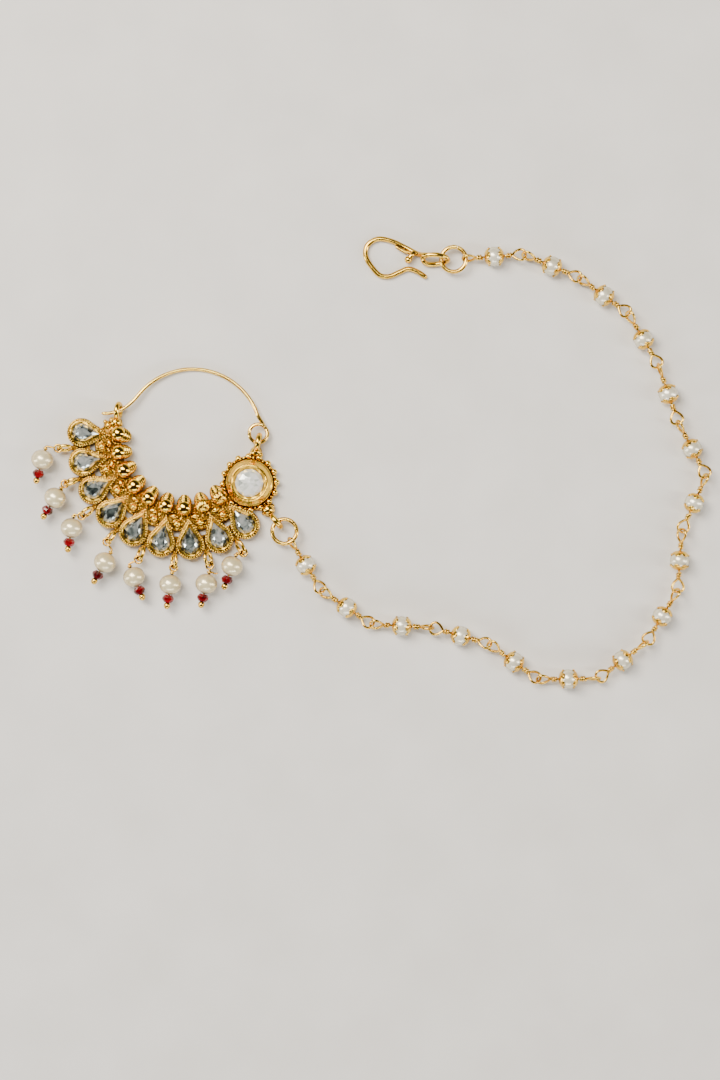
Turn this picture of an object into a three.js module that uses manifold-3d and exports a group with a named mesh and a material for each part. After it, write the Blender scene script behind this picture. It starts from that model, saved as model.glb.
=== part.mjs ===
// Nath: a gilt nose ring of nine set pear stones with eight pearl drops, and the pearl chain
// that ties it back to a hook in the hair. It lies flat, face up, as laid on a table.
// Millimetres, +Z up. The layout is drawn about the centre of the nose ring's circle and moved
// at the end so that the origin is under the middle of the whole piece, on the table.
import * as THREE from "three";
import * as BufferGeometryUtils from "three/addons/utils/BufferGeometryUtils.js";
import Module from "manifold-3d";

// ---- driving dimensions (mm, degrees) ----
const PEARS = { count: 9, first: 174.4, pitch: 16.55, tip: 16.0, length: 9.1, radius: 3.02 };
const BEZEL = { height: 2.4, wall: 0.85, floor: 0.9 };
const STONE = { gap: 0.12, bevel: 0.6, slope: 0.95, waist: 0.6 };
const BAND = { inner: 13.2, outer: 18.4, from: 163, to: 312, height: 1.4 };
const BARREL = { first: 172.3, pitch: 16.4, radius: 14.0, height: 3.1, tilt: 35 };
const STUD = { radius: 17.4, ball: 0.85, height: 1.9 };
const DROP_LOOP = { radius: 25.6, half: 1.25, tall: 0.95, wire: 0.35, height: 2.45 };
const WEB = { radius: 23.1, length: 3.0, width: 1.5, height: 2.0 };
const SETTING = { x: 14.1, y: -8.7, flange: 4.9, rim: 3.95, well: 3.15, top: 4.0 };
const BEADS = { count: 16, ring: 5.75, radius: 0.72, height: 1.55 };
const KUNDAN = { radius: 3.0, girdle: 3.0, top: 4.35, seat: 2.0 };
const LUG = { radius: 1.5, wire: 0.55, height: 2.05 };
const CATCH_LUG = { x: -14.0, y: 6.75, heading: 84, lean: 12 };
const PIVOT_LUG = { x: 15.95, y: 0.05, heading: 78, lean: 0 };
const CHAIN_LUG = { x: 19.8, y: -16.85, heading: -50, lean: 0 };
const NOSE_WIRE = { wire: 0.4, centreX: 1.9, centreY: 1.1, radius: 14.8, lean: 7.2 };
const CURL = { x: 16.0, y: 1.95, radius: 1.95, rise: 1.1 };
const PIN = { wire: 0.22, eye: 0.78, ball: 0.65, ballAt: 4.6, neckAt: 2.9 };
const DROP_PEARL = { radius: 2.45, half: 2.2, bore: 0.36 };
const GLASS = { radius: 1.4, half: 0.75, at: 3.1 };
// each drop's pearl: distance and angle from the circle's centre, then the way its pin points
const DROPS = [
  [30.45, 187, 254], [29.95, 203.4, 238], [30.15, 217.4, 260], [30.7, 236.8, 240],
  [30.7, 249.8, 292], [30.55, 264.7, 261], [30.65, 279.2, 256], [28.45, 291.4, 250],
];
const LINK = { pitch: 12.9, startX: 22.76, startY: -20.81, height: 2.15, groups: 4 };
const LINK_HEADINGS = [-58, -34, -3, -16, -36, 1, 37, 59, 86, 66, 118, 109, 120, 144, 157, 184];
// how far each eye of the links is turned about its link, starting eye then ending eye
const EYE_ROLLS = [
  [68, -30], [45, -25], [50, -75], [5, -35], [40, -30], [50, 80], [10, -80], [5, -65],
  [15, -55], [20, -70], [10, -75], [0, -85], [10, -60], [15, -60], [25, -60], [25, -68],
];
const CHAIN_PEARL = { radius: 2.1, half: 2.0, bore: 0.4 };
const LINK_WIRE = { wire: 0.25, core: 0.24, wrap: 0.52, wrapFrom: 2.8, wrapTo: 4.15 };
const CAP = { rim: 1.75, rimAt: 1.8, crown: 2.3 };
const EYE = { at: 5.35, freeAt: 5.6, half: 1.25, wide: 1.05 };
const RING_1 = { x: 21.6, y: -19.05, z: 2.1, radius: 2.62, wire: 0.42, heading: -55, lean: -3 };
const RING_2 = { x: 57.87, y: 39.25, z: 2.05, radius: 2.65, wire: 0.43, heading: 0, lean: -3 };
const HOOK = { wire: 0.55, eyeHeight: 1.95, ball: 0.92, ballX: 47.7, ballY: 39.5, ballZ: 1.35 };

const wasm = await Module();
wasm.setup();
const rad = THREE.MathUtils.degToRad;

// ---- materials ----
const gilt = (color = 0xc9973b, roughness = 0.28) =>
  new THREE.MeshStandardMaterial({ color, roughness, metalness: 1 });
const foiledGlass = () =>
  new THREE.MeshStandardMaterial({ color: 0x9aa0a0, roughness: 0.12, metalness: 0.3 });
const kundanGlass = () =>
  new THREE.MeshStandardMaterial({ color: 0xe4e6dc, roughness: 0.15, metalness: 0.2 });
const creamPearl = () =>
  new THREE.MeshStandardMaterial({ color: 0xe2d8bd, roughness: 0.3, metalness: 0 });
const whitePearl = () =>
  new THREE.MeshStandardMaterial({ color: 0xdedccf, roughness: 0.28, metalness: 0 });
const rubyGlass = () =>
  new THREE.MeshStandardMaterial({ color: 0x7c0712, roughness: 0.1, metalness: 0 });

// ---- solids ----
// A closed geometry with its shared vertices merged, as a solid that can be joined.
function toSolid(geometry) {
  const bare = geometry.index ? geometry.toNonIndexed() : geometry.clone();
  bare.deleteAttribute("normal");
  bare.deleteAttribute("uv");
  const merged = BufferGeometryUtils.mergeVertices(bare, 1e-4);
  return new wasm.Manifold(new wasm.Mesh({
    numProp: 3,
    vertProperties: merged.attributes.position.array,
    triVerts: new Uint32Array(merged.index.array),
  }));
}

// The geometries joined into one solid, as a geometry again.
function joined(geometries) {
  const mesh = wasm.Manifold.union(geometries.map(toSolid)).getMesh();
  const geometry = new THREE.BufferGeometry();
  geometry.setAttribute("position", new THREE.BufferAttribute(mesh.vertProperties, 3));
  geometry.setIndex(new THREE.BufferAttribute(mesh.triVerts, 1));
  geometry.computeVertexNormals();
  return geometry;
}

function piece(name, geometry, material) {
  const mesh = new THREE.Mesh(geometry, material);
  mesh.name = name;
  return mesh;
}

// A point at a distance and an angle from the circle's centre.
function polar(radius, degrees, z = 0) {
  return new THREE.Vector3(
    radius * Math.cos(rad(degrees)), radius * Math.sin(rad(degrees)), z);
}

// A round wire along points, with blunt ends.
function wireAlong(points, radius, steps, sides = 6) {
  const section = new THREE.Shape();
  section.absarc(0, 0, radius, 0, Math.PI * 2, false);
  const extrudePath = new THREE.CatmullRomCurve3(points, false, "centripetal");
  return new THREE.ExtrudeGeometry(section, { steps, extrudePath, curveSegments: sides / 2 });
}

// A straight turned piece: its profile runs along X, then it is turned to a heading and placed.
function turned(profile, segments, heading, place) {
  const geometry = new THREE.LatheGeometry(
    profile.map(([radius, along]) => new THREE.Vector2(radius, along)), segments);
  geometry.rotateZ(rad(heading - 90));
  return geometry.translate(place.x, place.y, place.z);
}

// A standing wire loop seen edge on from above. Its plane holds the heading, and its top
// leans to the left of the heading.
function standingLoop({ x, y, heading, lean }, radius, wire, height) {
  const geometry = new THREE.TorusGeometry(radius, wire, 6, 10);
  geometry.rotateX(rad(90 - lean));
  geometry.rotateZ(rad(heading));
  return geometry.translate(x, y, height);
}

// ---- crescent frame ----
// The pear outline, drawn in from the bezel's outside, with its point towards the centre.
function pearShape(inset) {
  const middle = PEARS.length - PEARS.radius;
  const half = Math.asin(PEARS.radius / middle);
  const radius = PEARS.radius - inset;
  const shape = new THREE.Shape();
  const from = -Math.PI / 2 - half;
  shape.moveTo(PEARS.tip + inset / Math.sin(half), 0);
  shape.lineTo(PEARS.tip + middle + radius * Math.cos(from), radius * Math.sin(from));
  shape.absarc(PEARS.tip + middle, 0, radius, from, -from, false);
  return shape;
}

function pearBezel(index) {
  const walled = pearShape(0);
  walled.holes.push(new THREE.Path(pearShape(BEZEL.wall).getPoints(5).reverse()));
  const wall = new THREE.ExtrudeGeometry(
    walled, { depth: BEZEL.height, bevelEnabled: false, curveSegments: 5 });
  const floor = new THREE.ExtrudeGeometry(
    pearShape(BEZEL.wall / 2), { depth: BEZEL.floor, bevelEnabled: false, curveSegments: 4 });
  return [wall, floor].map((part) => part.rotateZ(rad(PEARS.first + PEARS.pitch * index)));
}

function band() {
  const { inner, outer, from, to, height } = BAND;
  const shape = new THREE.Shape();
  shape.absarc(0, 0, outer, rad(from), rad(to), false);
  shape.absarc(0, 0, inner, rad(to), rad(from), true);
  shape.closePath();
  return new THREE.ExtrudeGeometry(
    shape, { depth: height, bevelEnabled: false, curveSegments: 9 });
}

// A ribbed bead head: it leans inwards and down, with its round end up towards a stone.
function barrel(index) {
  const profile = [
    [0, -3], [0.95, -3], [1.42, -1.6], [1.68, 0], [1.3, 1.05], [0.6, 1.55], [0, 1.65],
  ];
  const angle = BARREL.first + BARREL.pitch * index;
  const geometry = new THREE.LatheGeometry(
    profile.map(([radius, along]) => new THREE.Vector2(radius, along)), 8);
  const axis = polar(Math.cos(rad(BARREL.tilt)), angle, Math.sin(rad(BARREL.tilt)));
  geometry.applyQuaternion(
    new THREE.Quaternion().setFromUnitVectors(new THREE.Vector3(0, 1, 0), axis));
  const head = polar(BARREL.radius, angle, BARREL.height);
  return geometry.translate(head.x, head.y, head.z);
}

function ball(place, radius, around = 6, rows = 4) {
  const geometry = new THREE.SphereGeometry(radius, around, rows);
  return geometry.rotateX(Math.PI / 2).translate(place.x, place.y, place.z);
}

// Between two pears: a ball by the points, and a drop's loop on a web outside.
function betweenPears(index) {
  const angle = PEARS.first + PEARS.pitch * (index + 0.5);
  const stud = polar(STUD.radius, angle, STUD.height);
  const web = new THREE.BoxGeometry(WEB.length, WEB.width, WEB.height);
  web.translate(WEB.radius, 0, WEB.height / 2).rotateZ(rad(angle));
  const loop = new THREE.TorusGeometry(DROP_LOOP.half, DROP_LOOP.wire, 5, 8);
  loop.scale(1, DROP_LOOP.tall / DROP_LOOP.half, 1).rotateX(Math.PI / 2);
  loop.translate(DROP_LOOP.radius, 0, DROP_LOOP.height).rotateZ(rad(angle));
  return [ball(stud, STUD.ball, 6, 4), web, loop];
}

function roundSetting() {
  const { x, y, flange, rim, well, top } = SETTING;
  const profile = [
    [0, 0], [5.9, 0], [6.2, 0.4], [6.2, 1.1], [flange, 1.5], [flange, 2.2], [rim, top],
    [rim - 0.25, top], [well, 3.0], [well, KUNDAN.seat - 0.1], [0, KUNDAN.seat - 0.1],
  ];
  const body = new THREE.LatheGeometry(
    profile.map(([radius, z]) => new THREE.Vector2(radius, z)), 20);
  const parts = [body.rotateX(Math.PI / 2).translate(x, y, 0)];
  for (let i = 0; i < BEADS.count; i += 1) {
    const place = polar(BEADS.ring, (360 / BEADS.count) * i, BEADS.height);
    parts.push(ball(place.add(new THREE.Vector3(x, y, 0)), BEADS.radius, 6, 3));
  }
  return parts;
}

// The three loops that take the nose wire's tail, its curl and the chain's jump ring.
function lugs() {
  const loops = [CATCH_LUG, PIVOT_LUG, CHAIN_LUG].map(
    (lug) => standingLoop(lug, LUG.radius, LUG.wire, LUG.height));
  const necks = [[-14.6, 4.3, 1.3], [-16.2, 3.7, 1.0], [15.5, -2.0, 1.2], [18.1, -14.4, 1.35]];
  return loops.concat(
    necks.map(([x, y, radius]) => ball(new THREE.Vector3(x, y, radius), radius)));
}

function crescentFrame() {
  const parts = [band(), ...roundSetting(), ...lugs()];
  for (let i = 0; i < PEARS.count; i += 1) {
    parts.push(...pearBezel(i), barrel(i));
    if (i < DROPS.length) parts.push(...betweenPears(i));
  }
  return piece("crescent_frame", joined(parts), gilt());
}

// ---- stones ----
function pearStone(index) {
  const shape = pearShape(BEZEL.wall + STONE.gap + STONE.slope);
  const geometry = new THREE.ExtrudeGeometry(shape, {
    depth: STONE.waist, curveSegments: 5, bevelSegments: 1,
    bevelThickness: STONE.bevel, bevelSize: STONE.slope,
  });
  geometry.translate(0, 0, BEZEL.floor + STONE.gap + STONE.bevel);
  geometry.rotateZ(rad(PEARS.first + PEARS.pitch * index));
  return piece(`pear_stone_${index + 1}`, geometry, foiledGlass());
}

function roundStone() {
  const { radius, girdle, top, seat } = KUNDAN;
  const profile = [[0, seat], [radius, seat], [radius, girdle], [2.3, 3.85], [1.2, 4.25], [0, top]];
  const geometry = new THREE.LatheGeometry(
    profile.map(([r, z]) => new THREE.Vector2(r, z)), 12);
  geometry.rotateX(Math.PI / 2).translate(SETTING.x, SETTING.y, 0);
  return piece("round_stone", geometry, kundanGlass());
}

// ---- nose wire ----
// The curl turns once through the pivot loop, then the wire swings over to the catch loop and
// ends in a tail. The whole wire leans about the line through both loops, onto the table.
function noseWire() {
  const points = [];
  for (let turn = -50; turn <= 300; turn += 25) {
    const angle = rad(90 + turn);
    const rise = CURL.rise * (125 - turn) / 350;
    points.push(new THREE.Vector3(
      CURL.x + CURL.radius * Math.cos(angle), CURL.y + CURL.radius * Math.sin(angle), rise));
  }
  for (let angle = 18; angle <= 136; angle += 9) {
    points.push(new THREE.Vector3(
      NOSE_WIRE.centreX + NOSE_WIRE.radius * Math.cos(rad(angle)),
      NOSE_WIRE.centreY + NOSE_WIRE.radius * Math.sin(rad(angle)), 0));
  }
  points.push(new THREE.Vector3(-10.9, 8.9, 0), new THREE.Vector3(-12.5, 7.55, 0));
  points.push(new THREE.Vector3(-14.0, 6.75, 0), new THREE.Vector3(-15.7, 6.3, 0));
  points.push(new THREE.Vector3(-17.7, 6.2, 0));
  const from = new THREE.Vector3(PIVOT_LUG.x, PIVOT_LUG.y, 0);
  const axis = new THREE.Vector3(CATCH_LUG.x, CATCH_LUG.y, 0).sub(from).normalize();
  const geometry = wireAlong(points.map((point) => point.sub(from)), NOSE_WIRE.wire, 58);
  const mesh = piece("nose_wire", geometry, gilt(0xd9b46a, 0.25));
  mesh.quaternion.setFromAxisAngle(axis, rad(NOSE_WIRE.lean));
  mesh.position.set(from.x, from.y, LUG.height);
  return mesh;
}

// ---- drops ----
function drop(index) {
  const [radius, angle, heading] = DROPS[index];
  const pearl = polar(radius, angle, DROP_LOOP.height);
  const loopEnd = polar(
    DROP_LOOP.radius + DROP_LOOP.half, PEARS.first + PEARS.pitch * (index + 0.5),
    DROP_LOOP.height);
  const neck = polar(-PIN.neckAt, heading).add(pearl);
  const { wire, eye } = PIN;
  const out = neck.clone().sub(loopEnd).setLength(eye).add(loopEnd);
  const bend = polar(0.4 - PIN.neckAt, heading).add(pearl);
  const ring = new THREE.TorusGeometry(eye, wire, 5, 9).translate(loopEnd.x, loopEnd.y, loopEnd.z);
  const { ball: end, ballAt } = PIN;
  const shaft = turned([
    [0, 0.2 - PIN.neckAt], [wire, 0.2 - PIN.neckAt], [wire, ballAt - end],
    [end * 0.8, ballAt - end * 0.5], [end * 0.8, ballAt + end * 0.5], [0, ballAt + end],
  ], 6, heading, pearl);
  const half = DROP_PEARL.half;
  const bead = turned([
    [DROP_PEARL.bore, -half], [1.5, -half * 0.82], [DROP_PEARL.radius, -0.7],
    [DROP_PEARL.radius, 0.7], [1.5, half * 0.82], [DROP_PEARL.bore, half],
    [DROP_PEARL.bore, -half],
  ], 8, heading, pearl);
  const { radius: wide, half: thick, at } = GLASS;
  const glass = turned([
    [DROP_PEARL.bore, at - thick], [wide * 0.75, at - thick], [wide, at],
    [wide * 0.75, at + thick], [DROP_PEARL.bore, at + thick], [DROP_PEARL.bore, at - thick],
  ], 6, heading, pearl);
  const pin = joined([ring, shaft, wireAlong([out, neck, bend], wire, 4)]);
  return [
    piece(`drop_pin_${index + 1}`, pin, gilt(0xb98a3c, 0.3)),
    piece(`drop_pearl_${index + 1}`, bead, creamPearl()),
    piece(`drop_glass_bead_${index + 1}`, glass, rubyGlass()),
  ];
}

// ---- chain ----
// The middles and headings of the links, walked from the nose ring to the hook.
function chainLinks() {
  const joint = new THREE.Vector3(LINK.startX, LINK.startY, LINK.height);
  return LINK_HEADINGS.map((heading) => {
    const middle = polar(LINK.pitch / 2, heading).add(joint);
    joint.add(polar(LINK.pitch, heading));
    return { heading, middle };
  });
}

// One link's metal: the core wire, a cap on each side of its pearl, wraps and two eyes.
function linkMetal({ heading, middle }, [startRoll, endRoll], [startAt, endAt]) {
  const { wire, core, wrap, wrapFrom, wrapTo } = LINK_WIRE;
  const side = [
    [0, -wrapTo], [wrap, -wrapTo], [wrap, -wrapFrom], [CAP.rim, -CAP.rimAt], [core, -CAP.crown],
  ];
  const other = side.map(([radius, along]) => [radius, -along]).reverse();
  const parts = [turned([...side, ...other], 7, heading, middle)];
  for (const [at, roll] of [[-startAt, startRoll], [endAt, endRoll]]) {
    const eye = new THREE.TorusGeometry(EYE.half, wire, 4, 8);
    eye.scale(1, EYE.wide / EYE.half, 1).rotateX(rad(roll)).translate(at, 0, 0);
    parts.push(eye.rotateZ(rad(heading)).translate(middle.x, middle.y, middle.z));
  }
  return parts;
}

function chain() {
  const links = chainLinks();
  const perGroup = links.length / LINK.groups;
  const pieces = [];
  for (let group = 0; group < LINK.groups; group += 1) {
    const parts = [];
    for (let n = 0; n < perGroup; n += 1) {
      const i = group * perGroup + n;
      const ends = [n === 0 ? EYE.freeAt : EYE.at, n === perGroup - 1 ? EYE.freeAt : EYE.at];
      parts.push(...linkMetal(links[i], EYE_ROLLS[i], ends));
    }
    pieces.push(piece(`chain_links_${group + 1}`, joined(parts), gilt(0xcba55a, 0.3)));
  }
  const { radius, half, bore } = CHAIN_PEARL;
  links.forEach(({ heading, middle }, i) => {
    const profile = [
      [bore, -half], [1.4, -half * 0.76], [radius, -0.6], [radius, 0.6], [1.4, half * 0.76],
      [bore, half], [bore, -half],
    ];
    const name = `chain_pearl_${String(i + 1).padStart(2, "0")}`;
    pieces.push(piece(name, turned(profile, 8, heading, middle), whitePearl()));
  });
  return pieces;
}

function jumpRing(name, { x, y, z, radius, wire, heading, lean }) {
  const geometry = new THREE.TorusGeometry(radius, wire, 6, 14);
  const mesh = piece(name, geometry, gilt(0xd2a655, 0.25));
  mesh.rotation.set(0, rad(lean), rad(heading), "ZYX");
  mesh.position.set(x, y, z);
  return mesh;
}

// ---- hair hook ----
function hairHook() {
  const low = HOOK.wire;
  const mid = HOOK.eyeHeight;
  const route = [
    [52.2, 35.35, low], [50.2, 36.7, low], [48.2, 37.35, low], [46.2, 36.6, low],
    [44.2, 35.75, low], [42.2, 35.9, low], [40.3, 37.8, low], [39.0, 40.2, low],
    [39.4, 42.4, low], [41.6, 43.75, low], [44.6, 43.3, low], [47.6, 41.9, low],
    [50.2, 40.5, low + 0.5], [52.0, 40.1, mid + 0.9], [54.2, 40.1, mid + 1.35],
    [56.0, 39.7, mid + 0.9], [56.6, 39.15, mid], [56.0, 38.7, mid - 0.9],
    [54.2, 38.35, mid - 1.35], [51.9, 38.6, mid - 0.9], [49.7, 39.1, mid - 0.55],
    [47.7, 39.5, mid - 0.5],
  ];
  const wire = wireAlong(route.map(([x, y, z]) => new THREE.Vector3(x, y, z)), HOOK.wire, 46);
  const bar = wireAlong([
    new THREE.Vector3(48.4, 40.2, 1.2), new THREE.Vector3(47.4, 41.1, 1.1),
    new THREE.Vector3(45.2, 42.2, 1.0)], 0.5, 3);
  const solder = ball(new THREE.Vector3(HOOK.ballX, HOOK.ballY, HOOK.ballZ), HOOK.ball);
  return piece("hair_hook", joined([wire, bar, solder]), gilt(0xcf9f45, 0.24));
}

// ---- the whole piece ----
const layout = new THREE.Group();
layout.add(crescentFrame(), roundStone(), noseWire(), ...chain(), hairHook());
layout.add(jumpRing("jump_ring_1", RING_1), jumpRing("jump_ring_2", RING_2));
for (let i = 0; i < PEARS.count; i += 1) layout.add(pearStone(i));
for (let i = 0; i < DROPS.length; i += 1) layout.add(...drop(i));

layout.updateMatrixWorld(true);
const box = new THREE.Box3().setFromObject(layout, true);
const middle = box.getCenter(new THREE.Vector3());
layout.position.set(-middle.x, -middle.y, -box.min.z);

const nath = new THREE.Group();
nath.add(layout);

export default nath;
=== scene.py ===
import math
import random

import bmesh
import bpy
from mathutils import Euler, Matrix, Vector


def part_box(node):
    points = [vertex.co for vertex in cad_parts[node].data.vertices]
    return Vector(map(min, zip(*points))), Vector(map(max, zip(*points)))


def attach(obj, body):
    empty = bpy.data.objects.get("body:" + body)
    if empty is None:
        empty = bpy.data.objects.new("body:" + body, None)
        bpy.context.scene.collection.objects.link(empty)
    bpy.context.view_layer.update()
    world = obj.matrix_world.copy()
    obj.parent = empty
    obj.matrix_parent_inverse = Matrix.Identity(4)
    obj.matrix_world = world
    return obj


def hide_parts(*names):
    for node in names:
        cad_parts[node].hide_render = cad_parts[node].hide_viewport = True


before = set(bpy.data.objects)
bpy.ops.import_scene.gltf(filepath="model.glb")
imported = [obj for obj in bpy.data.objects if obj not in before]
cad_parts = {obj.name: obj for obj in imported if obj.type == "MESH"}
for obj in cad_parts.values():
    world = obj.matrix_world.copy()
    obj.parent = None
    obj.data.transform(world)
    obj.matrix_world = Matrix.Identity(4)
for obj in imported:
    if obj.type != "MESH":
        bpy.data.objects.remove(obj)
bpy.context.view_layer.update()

# ---- pear bezels ----
# Nine cups of gilt sheet, each a pear with its point to the nose: a plain outer edge, a wall,
# and a bright inner ledge that slopes down to the stone. They are soldered side by side.
MM = 0.001
stone_low, stone_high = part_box("round_stone")
SETTING_X, SETTING_Y, STONE_SEAT = 14.1, -8.7, 2.0
OFFSET = Vector((
    (stone_low[0] + stone_high[0]) / 2 / MM - SETTING_X,
    (stone_low[1] + stone_high[1]) / 2 / MM - SETTING_Y,
    stone_low[2] / MM - STONE_SEAT,
))
PEAR_COUNT, PEAR_FIRST, PEAR_PITCH = 9, 174.4, 16.55
PEAR_TIP, PEAR_LENGTH, PEAR_RADIUS = 15.95, 9.2, 3.13
WELD = 0.0005


def to_linear(code):
    """A hex sRGB colour as linear red, green, blue and alpha."""
    parts = [int(code[i:i + 2], 16) / 255 for i in (1, 3, 5)]
    return [c / 12.92 if c <= 0.04045 else ((c + 0.055) / 1.055) ** 2.4 for c in parts] + [1.0]


def fill(tree, node, inputs):
    """Sets a node's inputs by name, to values or linked to other nodes' sockets."""
    for key, value in inputs.items():
        if isinstance(value, bpy.types.NodeSocket):
            tree.links.new(value, node.inputs[key])
        else:
            node.inputs[key].default_value = value


def add(tree, kind, inputs=None, stops=(), **settings):
    """A node of that kind with its settings and inputs, and a ramp's (place, colour) stops."""
    node = tree.nodes.new(kind)
    for key, value in settings.items():
        setattr(node, key, value)
    if stops:
        elements = node.color_ramp.elements
        while len(elements) < len(stops):
            elements.new(0.5)
        for element, (place, code) in zip(elements, stops):
            element.position = place
            element.color = to_linear(code)
    fill(tree, node, inputs or {})
    return node


def plain_finish(name):
    """A new material, its tree, its shader, and the place on the piece that patterns follow."""
    material = bpy.data.materials.new(name)
    material.use_nodes = True
    tree = material.node_tree
    place = add(tree, "ShaderNodeTexCoord").outputs["Object"]
    return material, tree, tree.nodes["Principled BSDF"], place


def gilding(name, bright, deep, shade_brown, rough=0.2, recess=0.7, grain=0.3, unshaded_from=0.82):
    """Gold plate: a warm bright skin with brown painted shade in the recesses, found by occlusion,
    and fine pits.
    """
    material, tree, shader, place = plain_finish(name)
    blotch = add(tree, "ShaderNodeTexNoise", {"Vector": place, "Scale": 420.0, "Detail": 3.0})
    skin = add(tree, "ShaderNodeValToRGB", {"Fac": blotch.outputs["Fac"]},
               stops=[(0.3, deep), (0.62, bright)])
    # Painted shade: the less open a spot is, the nearer its colour goes to the shade brown.
    hollow = add(tree, "ShaderNodeAmbientOcclusion", {"Distance": recess * MM}, samples=6)
    edge = add(tree, "ShaderNodeMapRange", {
        "Value": hollow.outputs["AO"], "From Min": 0.28, "From Max": unshaded_from})
    colour = add(tree, "ShaderNodeMix", {
        "Factor": edge.outputs["Result"], "A": to_linear(shade_brown), "B": skin.outputs["Color"]},
        data_type="RGBA")
    wear = add(tree, "ShaderNodeTexNoise", {"Vector": place, "Scale": 1800.0, "Detail": 4.0})
    worn = add(tree, "ShaderNodeMapRange", {
        "Value": wear.outputs["Fac"], "To Min": rough * 0.7, "To Max": rough * 1.5})
    pits = add(tree, "ShaderNodeTexNoise", {"Vector": place, "Scale": 3200.0, "Detail": 2.0})
    bump = add(tree, "ShaderNodeBump", {
        "Height": pits.outputs["Fac"], "Strength": grain, "Distance": 0.03 * MM})
    fill(tree, shader, {
        "Base Color": colour.outputs["Result"], "Roughness": worn.outputs["Result"],
        "Normal": bump.outputs["Normal"], "Metallic": 1.0})
    return material


def loft(loops, closed=False, capped=True):
    """Skins equal loops of points in order, as (points, faces). The first end faces down."""
    count = len(loops[0])
    points = [p for loop in loops for p in loop]
    faces = []
    for row in range(len(loops) if closed else len(loops) - 1):
        low, high = row * count, (row + 1) % len(loops) * count
        for i in range(count):
            j = (i + 1) % count
            faces.append((low + i, low + j, high + j, high + i))
    if capped and not closed:
        faces.append(tuple(reversed(range(count))))
        faces.append(tuple(range(len(points) - count, len(points))))
    return points, faces


def together(shapes):
    """Several (points, faces) shapes as one."""
    points, faces = [], []
    for more_points, more_faces in shapes:
        start = len(points)
        points.extend(more_points)
        faces.extend(tuple(start + i for i in face) for face in more_faces)
    return points, faces


def moved(shape, matrix):
    """A shape put somewhere else by a matrix."""
    return [matrix @ Vector(p) for p in shape[0]], shape[1]


def closed_mesh(name, shape, smooth, offset):
    """A mesh from millimetre points: poles are welded and every shell faces outwards."""
    mesh = bpy.data.meshes.new(name)
    mesh.from_pydata([(Vector(p) + offset) * MM for p in shape[0]], [], shape[1])
    shell = bmesh.new()
    shell.from_mesh(mesh)
    bmesh.ops.remove_doubles(shell, verts=shell.verts, dist=WELD * MM)
    bmesh.ops.dissolve_degenerate(shell, edges=shell.edges, dist=WELD * MM)
    bmesh.ops.recalc_face_normals(shell, faces=shell.faces)
    shell.to_mesh(mesh)
    shell.free()
    mesh.polygons.foreach_set("use_smooth", [smooth] * len(mesh.polygons))
    return mesh


def placed(name, data):
    """A new object of that data, put in the scene."""
    obj = bpy.data.objects.new(name, data)
    bpy.context.scene.collection.objects.link(obj)
    return obj


def make(name, shape, material, smooth=True):
    """A mesh object from millimetre points about the nose ring's centre."""
    mesh = closed_mesh(name, shape, smooth, OFFSET)
    mesh.materials.append(material)
    return placed(name, mesh)


def creased(obj, degrees):
    """Keeps edges sharper than an angle crisp."""
    obj.data.set_sharp_from_angle(angle=math.radians(degrees))
    return obj


def pear_line(inset, sides=10, arc=34):
    """The pear's outline drawn in by inset, from its point round the wide end."""
    middle = PEAR_LENGTH - PEAR_RADIUS
    half = math.asin(PEAR_RADIUS / middle)
    radius = PEAR_RADIUS - inset
    tip = Vector((PEAR_TIP + inset / math.sin(half), 0.0, 0.0))
    round_end = [
        Vector((PEAR_TIP + middle + radius * math.cos(a), radius * math.sin(a), 0.0))
        for a in ((-math.pi / 2 - half) * (1 - 2 * i / arc) for i in range(arc + 1))]
    out = [tip.lerp(round_end[0], i / sides) for i in range(sides)]
    back = [round_end[-1].lerp(tip, i / sides) for i in range(1, sides)]
    return out + round_end + back


def pear_turn(index):
    """The turn that carries a pear drawn along X to its place; halves fall between pears."""
    return Matrix.Rotation(math.radians(PEAR_FIRST + PEAR_PITCH * index), 4, "Z")


CUP_SECTION = [
    (0.10, 0.0), (0.02, 0.08), (0.0, 1.66), (0.04, 1.80), (0.12, 1.86), (0.52, 1.90),
    (0.60, 2.05), (0.68, 2.07), (0.76, 2.00), (1.16, 1.74), (1.22, 1.62), (1.24, 1.20),
]
bezels = []
for index in range(PEAR_COUNT):
    rings = [[p + Vector((0, 0, z)) for p in pear_line(inset)] for inset, z in CUP_SECTION]
    bezels.append(moved(loft(rings), pear_turn(index)))
# Sheet gold: the ledge shines and the floor of the cup takes a brown painted shade, which sets off
# the stone.
cup_gold = gilding("toned_cup_gold", "#f4c64e", "#d69f38", "#643a0e", rough=0.24, recess=1.0,
                   unshaded_from=1.04)
pear_bezels = creased(make("pear_bezels", together(bezels), cup_gold), 35)
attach(pear_bezels, "jewel")
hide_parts("crescent_frame")

# ---- rope edge of the bezels ----
# A row of tiny grains round the top of each cup: gilt wire, twisted and rolled until it beads,
# then soldered down on the edge of the wall.
GRAIN_PITCH, GRAIN_RADIUS, GRAIN_SLANT, GRAIN_SHAPE = 0.52, 0.27, 24, (0.8, 1.1, 1.05, 1.0)
ROPE_INSET, ROPE_HEIGHT = 0.31, 2.06


def socket_of(tree, name):
    """The identifier of a tree's named input."""
    return next(s.identifier for s in tree.interface.items_tree if s.name == name)


def new_tree(name, sizes):
    """A geometry tree with a geometry input, a piece, a material and named sizes."""
    tree = bpy.data.node_groups.new(name, "GeometryNodeTree")
    tree.is_modifier = True
    tree.interface.new_socket("Geometry", in_out="INPUT", socket_type="NodeSocketGeometry")
    tree.interface.new_socket("Piece", in_out="INPUT", socket_type="NodeSocketObject")
    tree.interface.new_socket("Finish", in_out="INPUT", socket_type="NodeSocketMaterial")
    for size in sizes:
        tree.interface.new_socket(size, in_out="INPUT", socket_type="NodeSocketFloat")
    tree.interface.new_socket("Geometry", in_out="OUTPUT", socket_type="NodeSocketGeometry")
    return tree, add(tree, "NodeGroupInput"), add(tree, "NodeGroupOutput")


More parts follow.
